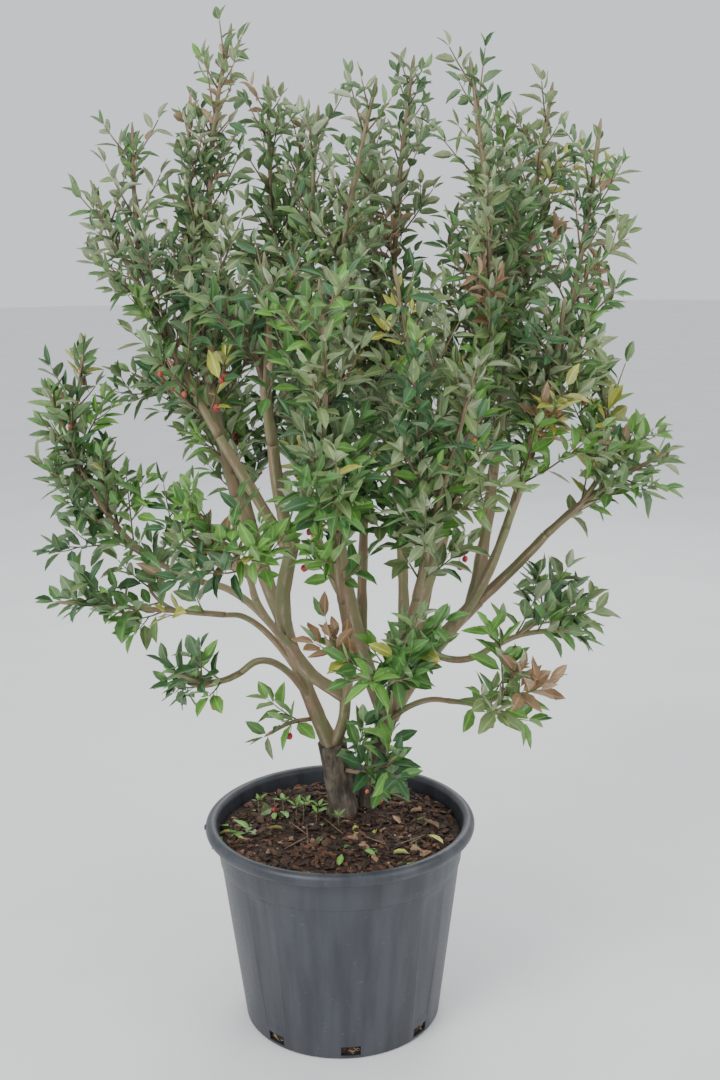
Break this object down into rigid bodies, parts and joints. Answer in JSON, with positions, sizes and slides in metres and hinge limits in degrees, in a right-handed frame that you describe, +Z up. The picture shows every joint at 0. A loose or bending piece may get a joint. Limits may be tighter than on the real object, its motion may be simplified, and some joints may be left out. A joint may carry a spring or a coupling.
{
  "type": "potted burning bush",
  "caption": "Upright shrub with forked trunks, corky winged stems and green leafy sprays, standing in a round dark plastic nursery pot of bark compost.",
  "frame": {"origin": "centre of the pot's flat underside", "axes": "+Z up along the plant, -Y towards the camera of the picture, +X to the right in it"},
  "size_m": [1.0777, 0.7892, 1.5531],
  "materials": {
    "pot_plastic": "dark slate moulded plastic, semi-matte, with soft upright reflections and light dust",
    "compost": "moist dark bark compost with lighter chips",
    "old_bark": "finely fissured grey-brown bark",
    "bark": "tan to brown stems with corky wings and green stripes between them",
    "leaf": "soft green leaves on brown twigs, some olive, yellow or dry, with small red capsules"
  },
  "bodies": {
    "root": {"pot": "pot_plastic", "compost": "compost", "trunk": "old_bark", "rear_trunk": "old_bark", "left_stem": "bark", "middle_stem": "bark", "front_left_bough": "bark", "front_left_leader": "bark", "upper_left_bough": "bark", "front_lower_left_bough": "bark", "low_left_bough": "bark", "left_crest_bough": "bark", "left_arm_bough": "bark", "low_left_arm_bough": "bark", "back_left_bough": "bark", "centre_stem": "bark", "back_centre_bough": "bark", "rear_left_bough": "bark", "front_centre_bough": "bark", "right_stem": "bark", "right_crest_bough": "bark", "front_right_bough": "bark", "rear_right_bough": "bark", "front_skirt_bough": "bark", "right_bough": "bark", "right_top_bough": "bark", "right_shoulder_bough": "bark", "right_arm_bough": "bark", "lower_right_bough": "bark", "low_right_bough": "bark", "back_right_bough": "bark", "left_top_foliage": "leaf", "left_crest_foliage": "leaf", "rear_left_foliage": "leaf", "back_left_foliage": "leaf", "front_left_foliage": "leaf", "front_lower_left_foliage": "leaf", "low_left_foliage": "leaf", "left_arm_foliage": "leaf", "low_left_arm_foliage": "leaf", "centre_crest_foliage": "leaf", "back_centre_foliage": "leaf", "front_centre_foliage": "leaf", "front_right_foliage": "leaf", "right_crest_foliage": "leaf", "rear_right_foliage": "leaf", "right_top_foliage": "leaf", "right_shoulder_foliage": "leaf", "right_arm_foliage": "leaf", "lower_right_foliage": "leaf", "low_right_foliage": "leaf", "back_right_foliage": "leaf", "front_skirt_foliage": "leaf", "trunk_sprig_foliage": "leaf", "left_sprig_foliage": "leaf"}
  },
  "joints": []
}
